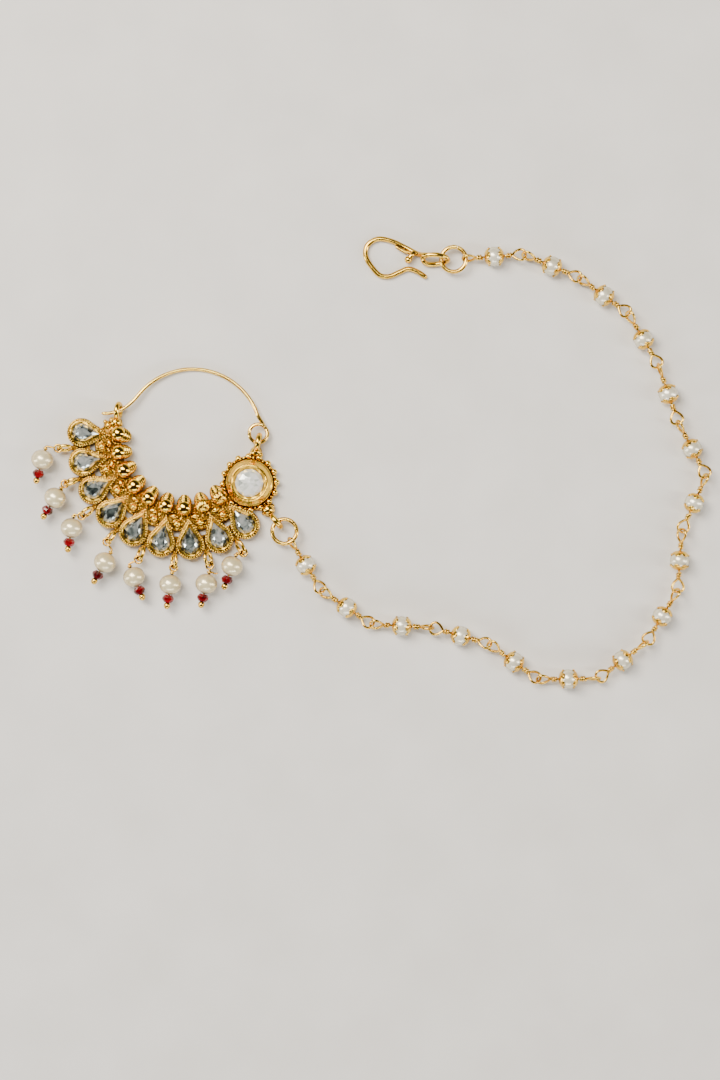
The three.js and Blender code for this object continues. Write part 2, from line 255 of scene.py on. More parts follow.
def finish_tree(tree, source, target, instances):
    """Ends a tree: the copies become real mesh and take the finish."""
    real = add(tree, "GeometryNodeRealizeInstances", {"Geometry": instances})
    done = add(tree, "GeometryNodeSetMaterial", {
        "Geometry": real.outputs["Geometry"], "Material": source.outputs["Finish"]})
    tree.links.new(done.outputs["Geometry"], target.inputs["Geometry"])


def grown(obj, tree, values):
    """Runs a geometry tree on an object and returns the plain mesh it makes."""
    modifier = obj.modifiers.new("copies", "NODES")
    modifier.node_group = tree
    for name, value in values.items():
        modifier[socket_of(tree, name)] = value
    bpy.context.view_layer.update()
    source = obj.evaluated_get(bpy.context.evaluated_depsgraph_get())
    mesh = bpy.data.meshes.new_from_object(source)
    mesh.name = obj.name
    obj.modifiers.remove(modifier)
    old = obj.data
    obj.data = mesh
    bpy.data.meshes.remove(old)
    return obj


def lathe(profile, segments=32, axis="Z"):
    """A turned shape from (radius, along) pairs, first to last, closed at both ends."""
    loops = []
    for radius, along in profile:
        loops.append([Vector((
            radius * math.cos(2 * math.pi * i / segments),
            radius * math.sin(2 * math.pi * i / segments), along)) for i in range(segments)])
    shape = loft(loops)
    turn = {"Z": Matrix.Identity(4), "X": Matrix.Rotation(math.pi / 2, 4, "Y")}[axis]
    return moved(shape, turn)


def ball(radius, rows=8, segments=12, squash=1.0):
    """A ball about its own middle, squashed or drawn out along Z."""
    steps = [math.pi * (i + 0.5) / (rows + 1) for i in range(rows + 1)]
    return lathe([
        (radius * math.sin(a), -radius * math.cos(a) * squash) for a in steps], segments)


def template(name, shape, smooth=True):
    """A hidden piece that a tree copies, made about its own middle."""
    return bpy.data.objects.new(name, closed_mesh(name, shape, smooth, Vector()))


rope_tree, rope_in, rope_out = new_tree("grains_along_edge", ["Pitch"])
edge_line = add(rope_tree, "GeometryNodeMeshToCurve", {"Mesh": rope_in.outputs["Geometry"]})
even_line = add(rope_tree, "GeometryNodeResampleCurve", {
    "Curve": edge_line.outputs["Curve"], "Length": rope_in.outputs["Pitch"]}, mode="LENGTH")
facing = add(rope_tree, "FunctionNodeAlignRotationToVector", {
    "Vector": add(rope_tree, "GeometryNodeInputTangent").outputs["Tangent"]}, axis="X")
grain_info = add(rope_tree, "GeometryNodeObjectInfo", {"Object": rope_in.outputs["Piece"]})
grain_copies = add(rope_tree, "GeometryNodeInstanceOnPoints", {
    "Points": even_line.outputs["Curve"], "Instance": grain_info.outputs["Geometry"],
    "Rotation": facing.outputs["Rotation"]})
finish_tree(rope_tree, rope_in, rope_out, grain_copies.outputs["Instances"])

grain = template("rope_grain", moved(
    ball(GRAIN_RADIUS, rows=5, segments=8),
    Matrix.Rotation(math.radians(GRAIN_SLANT), 4, "Z") @ Matrix.Diagonal(GRAIN_SHAPE)))
rope_points, rope_edges = [], []
for index in range(PEAR_COUNT):
    line = [pear_turn(index) @ (p + Vector((0, 0, ROPE_HEIGHT))) for p in pear_line(ROPE_INSET)]
    start = len(rope_points)
    rope_points += [(p + OFFSET) * MM for p in line]
    rope_edges += [(start + i, start + (i + 1) % len(line)) for i in range(len(line))]
rope_mesh = bpy.data.meshes.new("bezel_ropes")
rope_mesh.from_pydata(rope_points, rope_edges, [])
bezel_ropes = placed("bezel_ropes", rope_mesh)
# Grained wire gold: bright crowns with dark brown painted shade between them, so that each grain
# reads.
rope_gold = gilding("grained_gold_wire", "#fcd866", "#ebbd4c", "#3a1f05", recess=0.34, unshaded_from=0.95)
grown(bezel_ropes, rope_tree, {"Piece": grain, "Finish": rope_gold, "Pitch": GRAIN_PITCH * MM})
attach(bezel_ropes, "jewel")

# ---- pear stones ----
# Pear-cut glass set over grey silver foil: a small table, two rows of crown facets and a
# shallow back. Painted reflection: each facet takes its own grey, with painted streaks inside it.
GIRDLE_INSET, GIRDLE_DEEP, CULET_Z = 1.17, 0.3, 1.2
GIRDLE_Z, CROWN_Z, TABLE_Z, CROWN_SCALE, TABLE_SCALE = 1.66, 2.28, 2.55, 0.74, 0.47


def foiled(name, stops, streak, silver=0.7):
    """Clear glass over foil, with painted reflections: a grey set facet by facet, and painted
    streaks inside them.
    """
    material, tree, shader, place = plain_finish(name)
    facet = add(tree, "ShaderNodeAttribute", attribute_name="flash").outputs["Fac"]
    shards = add(tree, "ShaderNodeTexVoronoi", {
        "Vector": place, "Scale": streak, "Randomness": 1.0}, feature="F1", distance="CHEBYCHEV")
    clouds = add(tree, "ShaderNodeTexNoise", {
        "Vector": place, "Scale": streak * 0.8, "Detail": 5.0, "Distortion": 2.2})
    inner = add(tree, "ShaderNodeMath", {0: shards.outputs["Color"], 1: 0.45}, operation="MULTIPLY")
    mixed = add(tree, "ShaderNodeMath", {
        0: clouds.outputs["Fac"], 1: inner.outputs["Value"]}, operation="ADD")
    level = add(tree, "ShaderNodeMath", {
        0: facet, 1: 0.55, 2: mixed.outputs["Value"]}, operation="MULTIPLY_ADD")
    spread = add(tree, "ShaderNodeMapRange", {
        "Value": level.outputs["Value"], "From Min": 0.5, "From Max": 1.25})
    colour = add(tree, "ShaderNodeValToRGB", {"Fac": spread.outputs["Result"]}, stops=stops)
    fill(tree, shader, {
        "Base Color": colour.outputs["Color"], "Metallic": silver, "Roughness": 0.06,
        "Coat Weight": 1.0, "Coat Roughness": 0.03})
    return material


def paint_facets(obj, seed):
    """Gives each facet its own brightness of painted reflection."""
    draw = random.Random(seed)
    layer = obj.data.attributes.new("flash", "FLOAT", "FACE")
    layer.data.foreach_set("value", [draw.random() for _ in obj.data.polygons])
    return obj


def rings_of_facets(rings, bottom, top):
    """Facets between rings of equal count, each ring half a step round from the last."""
    count = len(rings[0])
    points = [p for ring in rings for p in ring]
    faces = []
    for row in range(len(rings) - 1):
        low, high = row * count, (row + 1) * count
        for i in range(count):
            j = (i + 1) % count
            faces.append((low + i, low + j, high + i))
            faces.append((low + j, high + j, high + i))
    points += [bottom]
    faces += [(len(points) - 1, (i + 1) % count, i) for i in range(count)]
    last = (len(rings) - 1) * count
    if top is None:
        faces.append(tuple(last + i for i in range(count)))
    else:
        points += [top]
        faces += [(last + i, last + (i + 1) % count, len(points) - 1) for i in range(count)]
    return points, faces


# Grey foiled glass: grey foil under the glass, with painted reflections: some facets painted white
# and some dark, with cloudy painted streaks between.
pear_glass = foiled("foiled_grey_glass", [
    (0.0, "#171d1f"), (0.28, "#46514f"), (0.5, "#7f8c8a"), (0.72, "#bcc7c5"), (1.0, "#f6fbf8"),
], 460.0)
pear_middle = Vector((PEAR_TIP + PEAR_LENGTH - PEAR_RADIUS - 0.45, 0, 0))
for index in range(PEAR_COUNT):
    outline = pear_line(GIRDLE_INSET, sides=2, arc=6)
    half_way = [a.lerp(b, 0.5) for a, b in zip(outline, outline[1:] + outline[:1])]
    stone_rings = [[p + Vector((0, 0, GIRDLE_Z - GIRDLE_DEEP)) for p in outline]]
    for ring, scale, z in ((outline, 1.0, GIRDLE_Z), (half_way, CROWN_SCALE, CROWN_Z),
                           (outline[1:] + outline[:1], TABLE_SCALE, TABLE_Z)):
        stone_rings.append([
            pear_middle.lerp(p, scale) + Vector((0, 0, z)) for p in ring])
    shape = rings_of_facets(stone_rings, pear_middle + Vector((0, 0, CULET_Z)), None)
    name = f"pear_stone_glass_{index + 1}"
    stone = paint_facets(make(name, moved(shape, pear_turn(index)), pear_glass, False), 40 + index)
    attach(stone, "jewel")
    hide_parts(f"pear_stone_{index + 1}")

# ---- ribbed bead heads ----
# Nine hollow gold beads lean in over the ring's inner edge: a polished round head towards each
# stone, then turned ribs that step down behind it. Two of the heads are cut with flutes.
HEAD_FIRST, HEAD_PITCH, HEAD_RADIUS, HEAD_HEIGHT = 172.3, 16.4, 14.0, 3.05
BALL, RIB_FROM, RIB_PITCH, RIB_DEPTH, LEAN = 1.68, -2.92, 0.58, 0.3, 35.0
RIB_RADII = [0.74, 1.08, 1.28, 1.36]
FLUTED = {7: (16, 0.0), 8: (13, 3.2)}
HEAD_TURNS = [-14, -3, 4, 2, 0, 1, -2, 2, 0]


def polar(radius, degrees, z=0.0):
    """A point in millimetres at a distance and an angle from the nose ring's centre."""
    turn = math.radians(degrees)
    return Vector((radius * math.cos(turn), radius * math.sin(turn), z))


def head_profile():
    """(radius, along) from the ribbed tail to the round head."""
    profile = [(0.0, -3.02), (0.5, -3.02), (0.68, -2.97)]
    for rib, base in enumerate(RIB_RADII):
        for step in range(7):
            along = RIB_FROM + RIB_PITCH * (rib + step / 7)
            profile.append((base + RIB_DEPTH * math.sin(math.pi * step / 6) ** 0.6, along))
    start = math.asin((RIB_FROM + RIB_PITCH * len(RIB_RADII) + 0.05) / BALL)
    for i in range(16):
        turn = start + (math.pi / 2 - start) * i / 16
        profile.append((BALL * math.cos(turn), BALL * math.sin(turn)))
    return profile + [(0.0, BALL)]


def fluted(shape, flutes, slant):
    """Cuts flutes down the round head, and across each other where they slant."""
    points = []
    for p in shape[0]:
        near = max(0.0, min(1.0, (p.z + 0.6) / 0.3)) * min(1.0, math.hypot(p.x, p.y) / 0.8)
        turn = flutes * math.atan2(p.y, p.x)
        dip = max(math.cos(turn + slant * p.z), math.cos(turn - slant * p.z))
        cut = 1 - 0.1 * near * max(0.0, dip) ** 2
        points.append(Vector((p.x * cut, p.y * cut, p.z)))
    return points, shape[1]


heads = []
for index in range(PEAR_COUNT):
    angle = HEAD_FIRST + HEAD_PITCH * index
    way = angle + HEAD_TURNS[index]
    out = polar(math.cos(math.radians(LEAN)), way, math.sin(math.radians(LEAN)))
    shape = lathe(head_profile(), 112 if index in FLUTED else 48)
    if index in FLUTED:
        shape = fluted(shape, *FLUTED[index])
    place = Matrix.Translation(polar(HEAD_RADIUS, angle, HEAD_HEIGHT))
    heads.append(moved(shape, place @ out.to_track_quat("Z", "Y").to_matrix().to_4x4()))
# Polished gold: each head mirrors the light in one hot spot, with dark lines of painted shade
# between the ribs.
polished_gold = gilding("polished_bead_gold", "#f9cf50", "#e6b03c", "#482606", rough=0.13,
                        recess=0.42, grain=0.15, unshaded_from=0.92)
bead_heads = make("ribbed_bead_heads", together(heads), polished_gold)
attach(bead_heads, "jewel")

# ---- crescent band ----
# The flat gilt plate behind the heads and the pears' points, with a soldered bridge between
# each two pears that carries a drop's loop. Its back is flat.
BAND_IN, BAND_OUT, BAND_FROM, BAND_TO, BAND_TOP = 13.35, 19.1, 166.0, 311.0, 1.38
BAND_STEPS, END_CUT, END_ARC = 90, 2.6, 7
BRIDGE_PLAN = [(20.2, -0.8), (23.4, -0.72), (24.3, -0.4), (24.3, 0.4), (23.4, 0.72), (20.2, 0.8)]
BRIDGE_STEPS = [(0.9, 0.0), (1.0, 0.12), (1.0, 1.0), (0.8, 1.15)]
band_rows = []
for i in range(BAND_STEPS + 1):
    angle = BAND_FROM + (BAND_TO - BAND_FROM) * i / BAND_STEPS
    edge = BAND_OUT - END_CUT * max(0.0, 1 - min(angle - BAND_FROM, BAND_TO - angle) / END_ARC)
    section = [(BAND_IN + 0.1, 0.0), (edge - 0.1, 0.0), (edge, 0.1),
               (edge, BAND_TOP - 0.2), (edge - 0.2, BAND_TOP),
               (BAND_IN + 0.2, BAND_TOP), (BAND_IN, BAND_TOP - 0.2), (BAND_IN, 0.1)]
    band_rows.append([polar(r, angle, z) for r, z in section])
bridges = [loft(band_rows)]
for index in range(PEAR_COUNT - 1):
    block = [[Vector((x, y * wide, z)) for x, y in BRIDGE_PLAN] for wide, z in BRIDGE_STEPS]
    bridges.append(moved(loft(block), pear_turn(index + 0.5)))
# Matt gold: a ground painted darker as shade of the deep band behind the heads, and browner in its
# hollows as painted shade, so that the bright grains on it stand out.
back_gold = gilding("matt_back_gold", "#cf9a3c", "#946220", "#3c2106", rough=0.3, recess=1.3,
                    grain=0.6)
crescent_band = creased(make("crescent_band", together(bridges), back_gold), 40)
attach(crescent_band, "jewel")

# ---- studs and granules ----
# Cast between the heads and the points of the pears: a ball in a wire collar, leaf-shaped
# studs, and grains of solder round them. The grains are drawn coarse enough to show.
STUD_RADIUS, STUD_BALL, STUD_Z = 17.5, 0.82, 2.02
COLLAR, COLLAR_WIRE, COLLAR_Z = 0.93, 0.13, 1.72
WELL = [(0.0, 1.0), (1.1, 1.0), (1.12, 1.35), (1.0, 1.7), (0.0, 1.7)]
LEAF_SHAPE, LEAF_SIZE, LEAF_TIP = (0.92, 0.52, 0.5, 1.0), (0.98, 0.98, 1.0), -0.06
LEAF_RADIUS, LEAF_Z = 15.95, 2.15
# Grains between two heads: distance from the ring's centre, degrees aside, height and radius.
HEAD_GRAINS = [(14.7, 0, 1.5, 0.34), (14.1, 0.6, 1.35, 0.27)]
# Loose grains on both sides of a stud: distance from the ring's centre, degrees to the side, and
# degrees that the pair as a whole is turned back.
SIDE_GRAINS = [(16.35, 2.4, 0), (15.2, 3.3, 1), (18.45, 3.6, 0)]
GRAIN_DENSITY, GRAIN_GAP, GRAIN_LOW, GRAIN_HIGH = 9.0e6, 0.46, 0.17, 0.3
PATCH = [(20.4, -0.6), (23.8, -0.5), (23.8, 0.5), (20.4, 0.6)]


def rounded(t, ends):
    """A wire's blunt ends, slightly rounded: full size but for its first and last bit."""
    near = min(t, 1 - t) / ends
    return 1.0 if near >= 1 else max(0.25, math.sqrt(max(0.0, 1 - (1 - near) ** 2)))


def sweep(path, radius, sides=12, closed=False, blunt=None):
    """A round wire along points, untwisted. An open one can have blunt, rounded ends."""
    count = len(path)
    ways = []
    for i in range(count):
        before = path[i - 1] if closed or i else path[i]
        after = path[(i + 1) % count] if closed or i < count - 1 else path[i]
        ways.append((after - before).normalized())
    side = ways[0].orthogonal().normalized()
    loops = []
    for i, (p, way) in enumerate(zip(path, ways)):
        side = (side - way * side.dot(way)).normalized()
        up = way.cross(side)
        r = radius * (rounded(i / (count - 1), blunt) if blunt else 1.0)
        loops.append([
            p + (side * math.cos(2 * math.pi * k / sides)
                 + up * math.sin(2 * math.pi * k / sides)) * r for k in range(sides)])
    if closed:
        spare = math.atan2(side.cross(Vector(loops[0][0] - path[0])).dot(ways[0]),
                           side.dot(loops[0][0] - path[0]))
        for i, (p, way) in enumerate(zip(path, ways)):
            turn = Matrix.Rotation(spare * i / count, 3, way)
            loops[i] = [p + turn @ (q - p) for q in loops[i]]
    return loft(loops, closed)


def ring_line(radius, other=None, count=40):
    """A ring, or an oval, in its own plane."""
    other = radius if other is None else other
    return [Vector((radius * math.cos(2 * math.pi * i / count),
                    other * math.sin(2 * math.pi * i / count), 0)) for i in range(count)]


def copies_tree(name):
    """Copies a piece on each point, turned and sized by the point's own values."""
    tree, source, target = new_tree(name, [])
    turn = add(tree, "GeometryNodeInputNamedAttribute", {"Name": "turn"},
               data_type="FLOAT_VECTOR")
    size = add(tree, "GeometryNodeInputNamedAttribute", {"Name": "size"},
               data_type="FLOAT_VECTOR")
    info = add(tree, "GeometryNodeObjectInfo", {"Object": source.outputs["Piece"]})
    copies = add(tree, "GeometryNodeInstanceOnPoints", {
        "Points": source.outputs["Geometry"], "Instance": info.outputs["Geometry"],
        "Rotation": turn.outputs["Attribute"], "Scale": size.outputs["Attribute"]})
    finish_tree(tree, source, target, copies.outputs["Instances"])
    return tree


def scattered(name, tree, piece, finish, places):
    """One mesh of copies at (point, turn, size) places, in millimetres about the centre."""
    mesh = bpy.data.meshes.new(name)
    mesh.from_pydata([(p + OFFSET) * MM for p, _, _ in places], [], [])
    for label, column in (("turn", 1), ("size", 2)):
        layer = mesh.attributes.new(label, "FLOAT_VECTOR", "POINT")
        layer.data.foreach_set("vector", [v for place in places for v in place[column]])
    return grown(placed(name, mesh), tree, {"Piece": piece, "Finish": finish})


def round_at(spot, radius):
    """A place for a copied ball: its middle, no turn, and its size."""
    return spot, (0, 0, 0), (radius,) * 3


ONE = (1.0, 1.0, 1.0)
copy_tree = copies_tree("placed_copies")
small_ball = template("small_ball", ball(1.0, rows=7, segments=14))
leaf = template("leaf_stud", moved(ball(1.0, 9, 16), Matrix.Diagonal(LEAF_SHAPE)))
draw = random.Random(7)
balls, leaves, collars = [], [], []
for index in range(PEAR_COUNT - 1):
    angle = PEAR_FIRST + PEAR_PITCH * (index + 0.5)
    balls.append(round_at(polar(STUD_RADIUS, angle, STUD_Z), STUD_BALL))
    ring = sweep(ring_line(COLLAR, count=28), COLLAR_WIRE, 8, True)
    collars.append(moved(ring, Matrix.Translation(polar(STUD_RADIUS, angle, COLLAR_Z))))
    collars.append(moved(lathe(WELL, 24), Matrix.Translation(polar(STUD_RADIUS, angle, 0.0))))
    head_angle = HEAD_FIRST + HEAD_PITCH * (index + 0.5)
    leaf_turn = (0, LEAF_TIP, math.radians(head_angle + 90))
    leaves.append((polar(LEAF_RADIUS, head_angle, LEAF_Z), leaf_turn, LEAF_SIZE))
    for reach, swing, z, radius in HEAD_GRAINS:
        balls.append(round_at(polar(reach, head_angle + swing, z), radius))
    balls.append(round_at(polar(18.7, angle, 1.5), 0.3))
    for reach, apart, nearer in SIDE_GRAINS:
        for side in (-1, 1):
            r = draw.uniform(0.26, 0.36)
            out = reach + draw.uniform(-0.12, 0.12)
            balls.append(round_at(polar(out, angle + side * apart - nearer, 1.35 + r * 0.9), r))
for angle in [HEAD_FIRST + HEAD_PITCH * i for i in range(PEAR_COUNT)]:
    for swing in (-2.3, 2.3):
        r = draw.uniform(0.2, 0.3)
        balls.append(round_at(polar(16.0, angle + swing, 1.8 + r * 0.5), r))
# Old gilt: bright crowns and deep brown hollows, partly painted shade and partly old gilt darkened
# where it isn't rubbed.
old_gilt_shaded = gilding("antique_gold_plate", "#f5ca4e", "#dcab3a", "#4e2c08", unshaded_from=0.9)
granules = scattered("studs_and_granules", copy_tree, small_ball, polished_gold, balls)
grain_tree, grain_in, grain_out = new_tree("grains_over_band", ["Gap", "Low", "High"])
strewn = add(grain_tree, "GeometryNodeDistributePointsOnFaces", {
    "Mesh": grain_in.outputs["Geometry"], "Distance Min": grain_in.outputs["Gap"],
    "Density Max": GRAIN_DENSITY, "Seed": 4}, distribute_method="POISSON")
grain_size = add(grain_tree, "FunctionNodeRandomValue", {
    "Min": grain_in.outputs["Low"], "Max": grain_in.outputs["High"], "Seed": 9},
    data_type="FLOAT")
band_grain = add(grain_tree, "GeometryNodeObjectInfo", {"Object": grain_in.outputs["Piece"]})
band_copies = add(grain_tree, "GeometryNodeInstanceOnPoints", {
    "Points": strewn.outputs["Points"], "Instance": band_grain.outputs["Geometry"],
    "Scale": grain_size.outputs["Value"]})
finish_tree(grain_tree, grain_in, grain_out, band_copies.outputs["Instances"])
strip = loft([[
    polar(r, BAND_FROM + 3 + (BAND_TO - BAND_FROM - 6) * i / BAND_STEPS, BAND_TOP + 0.05)
    for r in (15.0, 18.8)] for i in range(BAND_STEPS + 1)], capped=False)
# A loft closes each of its loops, so the strip comes out double, and one layer of it is kept.
strip = (strip[0], [face for face in strip[1] if face[0] < face[1]])
for index in range(PEAR_COUNT - 1):
    patch = [Vector((x, y, 1.2)) for x, y in PATCH]
    strip = together([strip, moved((patch, [(0, 1, 2, 3)]), pear_turn(index + 0.5))])
band_grains = make("band_granulation", strip, polished_gold)
seed_grain = template("seed_grain", ball(1.0, rows=4, segments=8))
grown(band_grains, grain_tree, {
    "Piece": seed_grain, "Finish": old_gilt_shaded, "Gap": GRAIN_GAP * MM, "Low": GRAIN_LOW,
    "High": GRAIN_HIGH})
leaf_studs = scattered("leaf_studs", copy_tree, leaf, polished_gold, leaves)
stud_collars = make("stud_collars", together(collars), old_gilt_shaded)
for obj in (granules, leaf_studs, stud_collars, band_grains):
    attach(obj, "jewel")

# ---- round setting ----
# The big setting at the nostril: a domed flange with a bright rim that slopes in to the stone,
# inside a ring of sixteen polished balls on a base plate.
SETTING = Matrix.Translation(Vector((SETTING_X, SETTING_Y, 0)))
RING_BALLS, BALL_RING, RING_BALL, RING_BALL_Z = 16, 5.75, 0.71, 1.5
SMALL_RING, SMALL_BALL, SMALL_BALL_Z, RING_START = 5.5, 0.42, 1.0, 2
flange = [
    (0.0, 0.0), (5.7, 0.0), (5.85, 0.12), (5.9, 0.5), (5.75, 0.7), (5.2, 0.8), (4.95, 0.9),
    (4.9, 1.1), (4.92, 2.3), (4.98, 2.42), (5.0, 2.56), (4.94, 2.68), (4.8, 2.78), (4.5, 3.12),
    (4.2, 3.52), (4.06, 3.78), (3.98, 3.92), (3.86, 3.98), (3.74, 3.94), (3.5, 3.7), (3.15, 3.32),
    (3.0, 3.2), (2.96, 3.05), (2.94, 2.3), (0.0, 2.3),
]
tab = [[Vector((x, y, z)) for x, y in ((-5.05, -0.22), (-4.3, -0.3), (-4.3, 0.3), (-5.05, 0.22))]
       for z in (1.5, 3.15)]
setting_shapes = [moved(lathe(flange, 120), SETTING), moved(loft(tab), SETTING)]
round_setting = creased(make("round_setting", together(setting_shapes), old_gilt_shaded), 50)
ring_places = []
for i in range(RING_BALLS):
    spot = polar(BALL_RING, 360 / RING_BALLS * i + RING_START)
    ring_places.append(round_at(spot + Vector((SETTING_X, SETTING_Y, RING_BALL_Z)), RING_BALL))
    spot = polar(SMALL_RING, 360 / RING_BALLS * (i + 0.5) + RING_START)
    ring_places.append(round_at(spot + Vector((SETTING_X, SETTING_Y, SMALL_BALL_Z)), SMALL_BALL))
setting_ball = template("setting_ball", ball(1.0, rows=11, segments=20))
setting_balls = scattered("setting_balls", copy_tree, setting_ball, polished_gold, ring_places)
for obj in (round_setting, setting_balls):
    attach(obj, "jewel")

# ---- kundan stone ----
# An uncut piece of clear glass over white silver foil: a low dome ground to a few wide facets,
# and held by the gold that is pressed round its edge.
KUNDAN_SIDES, KUNDAN_BACK, KUNDAN_TOP = 10, (0, 0, 2.35), (0.1, -0.1, 4.25)
# Rows from the back up: radius, height, and how many steps a row is turned.
KUNDAN_ROWS = [(3.0, 2.6, 0), (3.12, 3.14, 0), (2.35, 3.78, 0.5), (1.3, 4.14, 1.0)]
# White foiled glass: milky and bright all over from the foil, with one or two facets painted a soft
# grey as reflection.
kundan_glass = foiled("white_foiled_glass", [
    (0.0, "#7d867f"), (0.22, "#b9c0b9"), (0.42, "#e4e8e0"), (0.65, "#f8faf4"), (1.0, "#ffffff"),
], 260.0, silver=0.25)
draw = random.Random(21)
kundan_rings = []
for radius, z, half in KUNDAN_ROWS:
    kundan_rings.append([
        polar(radius * draw.uniform(0.985, 1.0), 360 / KUNDAN_SIDES * (i + half),
              z + draw.uniform(-0.04, 0.04)) for i in range(KUNDAN_SIDES)])
shape = rings_of_facets(kundan_rings, Vector(KUNDAN_BACK), Vector(KUNDAN_TOP))
kundan = paint_facets(make("kundan_stone", moved(shape, SETTING), kundan_glass, False), 5)
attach(kundan, "jewel")
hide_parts("round_stone")

# ---- standing loops ----
# Thick wire loops soldered upright on the crescent: one catches the nose wire's tail, one holds
# its curl, one takes the chain. Eight slimmer oval loops between the pears carry the drops.
LUG_RADIUS, LUG_HEIGHT = 1.5, 2.05
# Each lug: x, y, heading, lean and wire radius. Each neck and solder ball: x, y and radius.
LUGS = [(-14.0, 6.75, 84, 12, 0.55), (15.95, 0.05, 78, 0, 0.62), (19.8, -16.85, -50, 0, 0.62)]
NECKS = [(-14.6, 4.3, 1.25), (-16.2, 3.7, 0.95), (15.5, -2.0, 1.15), (18.1, -14.4, 1.3)]
SOLDER_BALLS = [(-15.5, 4.9, 0.55), (-16.9, 4.5, 0.45), (-13.6, 4.0, 0.5), (-15.4, 3.1, 0.55),
                (14.5, -2.3, 0.5), (16.5, -2.6, 0.5), (17.2, -15.2, 0.5), (19.0, -13.6, 0.5)]
SOLDER_Z = 1.2
DROP_LOOP_RADIUS, DROP_LOOP_HALF, DROP_LOOP_TALL, DROP_LOOP_WIRE = 25.5, 1.4, 0.95, 0.38
DROP_HEIGHT = 2.45
LOOP_ROLLS = [118, 62, 125, 58, 56, 60, 128, 52]
loops = []
for x, y, heading, lean, wire in LUGS:
    ring = sweep(ring_line(LUG_RADIUS, count=44), wire, 16, True)
    turn = Matrix.Rotation(math.radians(heading), 4, "Z") @ Matrix.Rotation(
        math.radians(90 - lean), 4, "X")
    loops.append(moved(ring, Matrix.Translation((x, y, LUG_HEIGHT)) @ turn))
for x, y, radius in NECKS:
    loops.append(moved(ball(radius, 10, 20), Matrix.Translation((x, y, radius))))
    collar = sweep(ring_line(radius * 0.95, count=24), 0.18, 8, True)
    loops.append(moved(collar, Matrix.Translation((x, y, radius * 0.75))))
for index in range(PEAR_COUNT - 1):
    oval = sweep(ring_line(DROP_LOOP_HALF, DROP_LOOP_TALL, 32), DROP_LOOP_WIRE, 12, True)
    place = Matrix.Translation((DROP_LOOP_RADIUS, 0, DROP_HEIGHT)) @ Matrix.Rotation(
        math.radians(LOOP_ROLLS[index]), 4, "X")
    loops.append(moved(oval, pear_turn(index + 0.5) @ place))
for x, y, radius in SOLDER_BALLS:
    loops.append(moved(ball(radius, 7, 14), Matrix.Translation((x, y, SOLDER_Z))))
standing_loops = make("standing_loops", together(loops), old_gilt_shaded)
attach(standing_loops, "jewel")

# ---- nose wire ----
# Thin springy wire that closes the ring: a full curl through its loop, one long arc, a small
# kink by the catch and a blunt tail. It leans down so that its arc rests on the table.
WIRE, WIRE_X, WIRE_Y, WIRE_RADIUS, WIRE_LEAN = 0.4, 1.9, 1.1, 14.8, 7.2
CURL_X, CURL_Y, CURL_RADIUS, CURL_RISE, WIRE_END = 16.0, 1.95, 1.95, 1.1, 0.012
CURL_TURNS, ARC_TURNS = range(-50, 301, 25), range(18, 137, 9)
WIRE_TAIL = [(-10.9, 8.9), (-12.5, 7.55), (-14.0, 6.75), (-15.7, 6.3), (-17.7, 6.2)]


def smooth_path(points, step):
    """An even line through points, the same centripetal curve that the solid follows."""
    ends = [points[0] * 2 - points[1]] + points + [points[-1] * 2 - points[-2]]
    line = []
    for p0, p1, p2, p3 in zip(ends, ends[1:], ends[2:], ends[3:]):
        t0 = 0.0
        t1 = t0 + max((p1 - p0).length, 1e-4) ** 0.5
        t2 = t1 + max((p2 - p1).length, 1e-4) ** 0.5
        t3 = t2 + max((p3 - p2).length, 1e-4) ** 0.5
        for i in range(24):
            t = t1 + (t2 - t1) * i / 24
            a1 = p0.lerp(p1, (t - t0) / (t1 - t0))
            a2 = p1.lerp(p2, (t - t1) / (t2 - t1))
            a3 = p2.lerp(p3, (t - t2) / (t3 - t2))
            b1, b2 = a1.lerp(a2, (t - t0) / (t2 - t0)), a2.lerp(a3, (t - t1) / (t3 - t1))
            line.append(b1.lerp(b2, (t - t1) / (t2 - t1)))
    line.append(points[-1])
    even, spare = [line[0]], 0.0
    for a, b in zip(line, line[1:]):
        spare += (b - a).length
        if spare >= step:
            even.append(b)
            spare = 0.0
    if (even[-1] - line[-1]).length > step * 0.3:
        even.append(line[-1])
    return even


wire_points = []
for turn in CURL_TURNS:
    angle = math.radians(90 + turn)
    wire_points.append(Vector((
        CURL_X + CURL_RADIUS * math.cos(angle), CURL_Y + CURL_RADIUS * math.sin(angle),
        CURL_RISE * (125 - turn) / 350)))
for degrees in ARC_TURNS:
    wire_points.append(polar(WIRE_RADIUS, degrees) + Vector((WIRE_X, WIRE_Y, 0)))
wire_points += [Vector((x, y, 0)) for x, y in WIRE_TAIL]
pivot = Vector((LUGS[1][0], LUGS[1][1], 0))
catch = Vector((LUGS[0][0], LUGS[0][1], 0))
tip_over = Matrix.Rotation(math.radians(WIRE_LEAN), 4, catch - pivot)
lifted = Matrix.Translation(pivot + Vector((0, 0, LUG_HEIGHT))) @ tip_over
wire_shape = sweep(smooth_path([p - pivot for p in wire_points], 0.3), WIRE, 14, blunt=WIRE_END)
# Pale drawn-wire gold: smooth and bright, with one long thin highlight along the wire, and brown
# painted shade where it runs close to other gold.
pale_gold = gilding("pale_gold_wire", "#f8d26a", "#e8ba50", "#845a1e", rough=0.16, recess=0.3,
                    grain=0.1)
nose_wire = make("nose_wire_gilt", moved(wire_shape, lifted), pale_gold)
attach(nose_wire, "nose_wire_body")
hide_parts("nose_wire")

